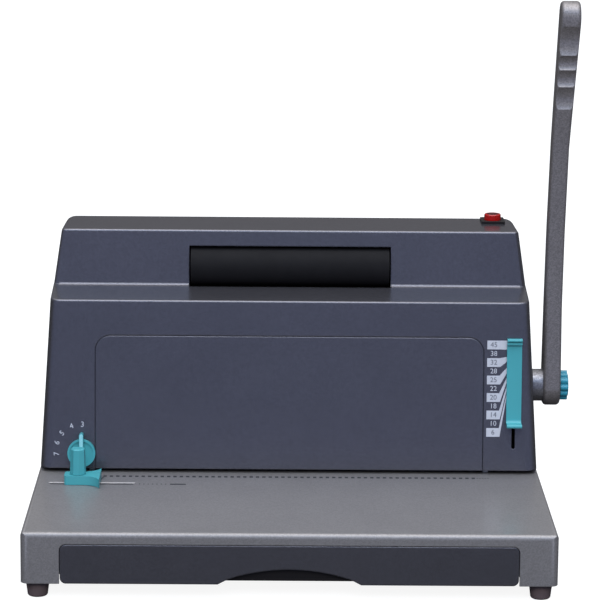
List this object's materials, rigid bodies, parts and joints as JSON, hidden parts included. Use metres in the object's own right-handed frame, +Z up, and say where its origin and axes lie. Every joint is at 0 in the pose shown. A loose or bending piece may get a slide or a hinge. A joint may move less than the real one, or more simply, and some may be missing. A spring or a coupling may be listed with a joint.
{
  "type": "punch and coil binding machine",
  "caption": "Desktop binding machine: a side lever punches a row of holes, a motor roller winds a coil in, with margin dial, thickness gauge, sliding side stop and chip drawer.",
  "frame": {"origin": "centre of the part's outline, on the table it stands on", "axes": "+X to the operator's right (towards the lever), +Y to the back of the machine, +Z up"},
  "size_m": [0.4238, 0.314, 0.4229],
  "materials": {
    "silver_paint": "fine satin silver-grey enamel",
    "charcoal_paint": "satin charcoal enamel",
    "teal_plastic": "glossy moulded teal plastic",
    "black_plastic": "matte moulded black plastic",
    "black_rubber": "matte black rubber",
    "red_plastic": "glossy moulded red plastic",
    "steel": "brushed steel",
    "brass": "turned brass"
  },
  "bodies": {
    "frame": {"base_pan": "silver_paint", "bottom_plate": "silver_paint", "feet": "black_rubber", "foot_screws": "steel", "drawer_runners": "steel", "die_plate": "steel", "punch_guide": "steel", "frame_plate_left": "steel", "frame_plate_right": "steel", "tie_rods": "steel", "shaft_bushes": "brass", "return_springs": "steel", "front_cover": "charcoal_paint", "front_panel": "charcoal_paint", "rear_cover": "charcoal_paint", "rear_screws": "steel", "roller_trough": "black_plastic", "roller_bearings": "brass", "drive_belt": "black_rubber", "motor": "steel", "motor_bracket": "steel", "switch_bezel": "black_plastic", "switch_body": "black_plastic", "power_inlet": "black_plastic", "dial_bush": "brass", "stop_guides": "steel"},
    "lever": {"main_shaft": "steel", "pinions": "steel", "shaft_rings": "steel", "lever_boss": "steel", "lever_arm": "silver_paint"},
    "clamp_knob": {"lever_knob": "teal_plastic"},
    "punch": {"punch_bar": "steel", "punch_pins": "steel", "racks": "steel", "rack_screws": "steel"},
    "drawer": {"drawer_tray": "black_plastic", "drawer_front": "charcoal_paint"},
    "roller": {"roller_shaft": "steel", "roller_sleeve": "black_rubber", "roller_pulley": "black_plastic"},
    "motor_rotor": {"motor_shaft": "steel", "motor_pulley": "brass"},
    "button": {"power_button": "red_plastic"},
    "dial": {"margin_dial": "teal_plastic", "dial_cam": "steel"},
    "stop_bar": {"margin_stop": "steel"},
    "side_stop": {"side_stop_block": "teal_plastic", "side_stop_plate": "steel"},
    "stop_knob": {"side_stop_knob": "teal_plastic"},
    "gauge": {"gauge_slider": "teal_plastic", "gauge_clip": "steel"}
  },
  "joints": [
    {"name": "lever_turn", "type": "hinge", "parent": "frame", "child": "lever", "pos_m": [0.19, 0.059, 0.1149], "axis": [1, 0, 0], "range_deg": [0, 85], "stiffness_Nm_per_rad": 0.6, "springref_deg": -34.38},
    {"name": "knob_turn", "type": "hinge", "parent": "lever", "child": "clamp_knob", "pos_m": [0.2033, 0.059, 0.1149], "axis": [1, 0, 0], "continuous": true},
    {"name": "punch_stroke", "type": "slide", "parent": "frame", "child": "punch", "axis": [0, 0, -1], "range_m": [0, 0.01113], "deforming": ["return_springs"]},
    {"name": "drawer_slide", "type": "slide", "parent": "frame", "child": "drawer", "axis": [0, -1, 0], "range_m": [0, 0.17]},
    {"name": "roller_turn", "type": "hinge", "parent": "frame", "child": "roller", "pos_m": [-0.01338, 0.08167, 0.2061], "axis": [1, 0, 0], "continuous": true},
    {"name": "motor_turn", "type": "hinge", "parent": "frame", "child": "motor_rotor", "pos_m": [0.0785, 0.12167, 0.2061], "axis": [1, 0, 0], "continuous": true},
    {"name": "button_press", "type": "slide", "parent": "frame", "child": "button", "axis": [0, 0, -1], "range_m": [0, 0.0025], "stiffness_N_per_m": 400, "springref_m": -0.001},
    {"name": "dial_turn", "type": "hinge", "parent": "frame", "child": "dial", "pos_m": [-0.17728, 0.01823, 0.06694], "axis": [0, -0.9951, 0.0993], "range_deg": [0, 90]},
    {"name": "stop_bar_slide", "type": "slide", "parent": "frame", "child": "stop_bar", "axis": [0, 1, 0], "range_m": [0, 0.004]},
    {"name": "side_stop_slide", "type": "slide", "parent": "frame", "child": "side_stop", "axis": [1, 0, 0], "range_m": [-0.0212, 0.0428]},
    {"name": "stop_knob_turn", "type": "hinge", "parent": "side_stop", "child": "stop_knob", "pos_m": [-0.17798, -0.016, 0.0634], "axis": [0, 0, 1], "continuous": true},
    {"name": "gauge_slide", "type": "slide", "parent": "frame", "child": "gauge", "axis": [0, -0.0993, -0.9951], "range_m": [0, 0.032]}
  ],
  "couplings": [
    {"joint": "punch_stroke", "follows": "lever_turn", "m_per_rad": 0.0075},
    {"joint": "motor_turn", "follows": "roller_turn", "ratio": 0.5},
    {"joint": "dial_turn", "follows": "stop_bar_slide", "rad_per_m": 392.7}
  ]
}
